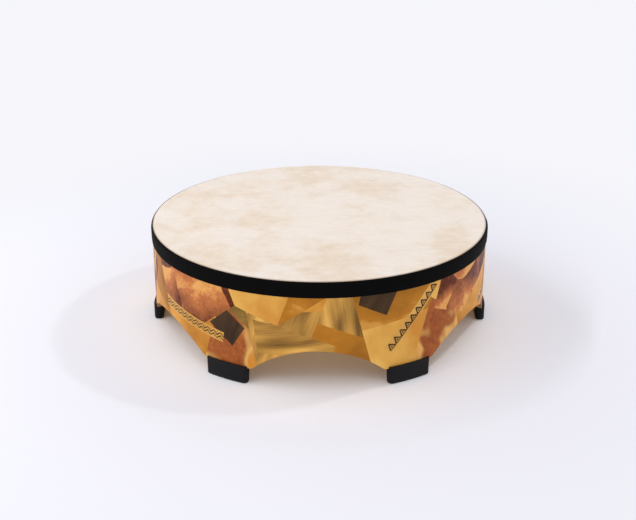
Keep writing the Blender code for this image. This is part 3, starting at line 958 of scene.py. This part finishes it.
def roll_sheet(shape):
    """Roll the flat sheet round the shell, and return its corners' normals: round ones on both faces."""
    normals = []
    for face in shape.faces:
        # 1 on the front, -1 on the back and 0 on the cut edges
        side = round(face.normal.z)
        for loop in face.loops:
            angle = loop.vert.co.x / SHELL_RADIUS
            outward = Vector((math.sin(angle), -math.cos(angle), 0.0))
            normals.append(outward * side if side else None)
    for vert in shape.verts:
        radius = SHELL_RADIUS + vert.co.z
        angle = vert.co.x / SHELL_RADIUS
        vert.co = (radius * math.sin(angle), -radius * math.cos(angle), vert.co.y)
    shape.normal_update()
    flat_normals = [face.normal.copy() for face in shape.faces for _ in face.loops]
    return [rounded or flat for rounded, flat in zip(normals, flat_normals)]


def build_covering(material):
    """The printed sleeve: a flat sheet cut into patches, rolled round the shell and butted at the rear."""
    patches = patchwork()
    shape = flat_sheet()
    cut_patches(shape, patches)
    bmesh.ops.solidify(shape, geom=shape.faces[:], thickness=COVERING_THICKNESS)
    print_sheet(shape, patches)
    normals = roll_sheet(shape)
    mesh = to_mesh("printed_sleeve", shape)
    mesh.shade_smooth()
    mesh.normals_split_custom_set(normals)
    place_piece("printed_sleeve", mesh, material, ["shell_wrap"])


def build_drum():
    """Dress every piece of the drum."""
    build_core(wound_fibre())
    build_covering(printed_covering())
    build_head(mottled_film())
    build_band(coated_tape())
    build_boots(moulded_rubber())


def seen_share(tree):
    """1 for a ray that looks at the background straight, in a reflection or through something clear."""
    camera_ray = add(tree, "LightPath", {}, "Is Camera Ray")
    glossy_ray = add(tree, "LightPath", {}, "Is Glossy Ray")
    clear_ray = add(tree, "LightPath", {}, "Is Transmission Ray")
    seen = add(tree, "Math", {0: camera_ray, 1: glossy_ray}, operation="MAXIMUM")
    return add(tree, "Math", {0: seen, 1: clear_ray}, operation="MAXIMUM")


def floor_finish():
    """Matt white studio paper, painted paler near the drum as painted light against its shade, with the
    backdrop's tone further out.
    """
    material = bpy.data.materials.new("matt_studio_paper")
    material.use_nodes = True
    tree = material.node_tree
    tree.nodes.clear()
    place = add(tree, "TexCoord", {}, "Object")
    radius = add(tree, "VectorMath", {0: place}, operation="LENGTH")
    # Painted light: the paper turns paler near the drum, to lift the shade round it
    near_range = {"Value": radius, "From Min": NEAR_START, "From Max": NEAR_END}
    away = add(tree, "MapRange", near_range, interpolation_type="SMOOTHSTEP")
    whites = {"Factor": away, "A": linear(NEAR_PAINTED_LIGHT_TONE), "B": linear(AWAY_TONE)}
    colour = add(tree, "Mix", whites, data_type="RGBA")
    paper = add(tree, "BsdfDiffuse", {"Color": colour})
    glow = add(tree, "Emission", {"Color": linear(FAR_TONE), "Strength": BACKDROP_STRENGTH})
    far_range = {"Value": radius, "From Min": FAR_START, "From Max": FAR_END}
    far = add(tree, "MapRange", far_range, interpolation_type="SMOOTHSTEP")
    share = add(tree, "Math", {0: far, 1: seen_share(tree)}, operation="MULTIPLY")
    surface = add(tree, "MixShader", {0: share, 1: paper, 2: glow})
    add(tree, "OutputMaterial", {"Surface": surface})
    return material


def build_floor():
    """A wide round floor under the drum."""
    shape = bmesh.new()
    bmesh.ops.create_circle(shape, cap_ends=True, segments=FLOOR_SIDES, radius=FLOOR_RADIUS)
    mesh = to_mesh("studio_floor", shape)
    mesh.materials.append(floor_finish())
    floor = add_object("studio_floor", mesh)


def build_world():
    """Even pale light from all round, and the backdrop's own tone where it is seen."""
    world = bpy.data.worlds.new("pale_studio")
    bpy.context.scene.world = world
    world.use_nodes = True
    tree = world.node_tree
    tree.nodes.clear()
    backdrop = add(tree, "Background", {"Color": linear(BACKDROP_TONE), "Strength": BACKDROP_STRENGTH})
    ambient = add(tree, "Background", {"Color": linear(AMBIENT_TONE), "Strength": AMBIENT_STRENGTH})
    surface = add(tree, "MixShader", {0: seen_share(tree), 1: ambient, 2: backdrop})
    add(tree, "OutputWorld", {"Surface": surface})


def add_lamp(name, place, size, turn, power, colour):
    """A soft lamp that faces straight down, turned about its middle and not seen itself."""
    data = bpy.data.lights.new(name, "AREA")
    data.shape = "RECTANGLE"
    data.size, data.size_y = size
    data.energy = power
    data.color = linear(colour)[:3]
    lamp = add_object(name, data)
    lamp.location = place
    lamp.rotation_euler = (0.0, 0.0, turn)
    lamp.visible_camera = False
    return lamp


def build_lights():
    """A long softbox at the left, a small one at the right, a fill in front, and light through the film."""
    for name, (across, along), size, turn, power in LAMPS:
        add_lamp(name, (across, along, LAMP_HEIGHT), size, turn, power, LAMP_COLOUR)
    glow_place = (0.0, 0.0, GLOW_HEIGHT)
    glow_size = (GLOW_WIDTH, GLOW_WIDTH)
    glow = add_lamp("light_through_film", glow_place, glow_size, 0.0, GLOW_POWER, GLOW_COLOUR)
    glow.data.shape = "DISK"


def build_camera():
    """The photograph's camera."""
    data = bpy.data.cameras.new("photo_camera")
    data.lens = LENS_MM
    data.sensor_width = SENSOR_MM
    data.shift_y = LENS_SHIFT
    camera = add_object("photo_camera", data)
    camera.location = CAMERA_PLACE
    camera.rotation_mode = "QUATERNION"
    sight = (Vector(CAMERA_AIM) - Vector(CAMERA_PLACE)).to_track_quat("-Z", "Y")
    camera.rotation_quaternion = sight @ Quaternion((0.0, 0.0, 1.0), CAMERA_ROLL)
    bpy.context.scene.camera = camera


build_drum()
build_floor()
build_world()
build_lights()
build_camera()
bpy.context.scene.view_settings.view_transform = "Standard"
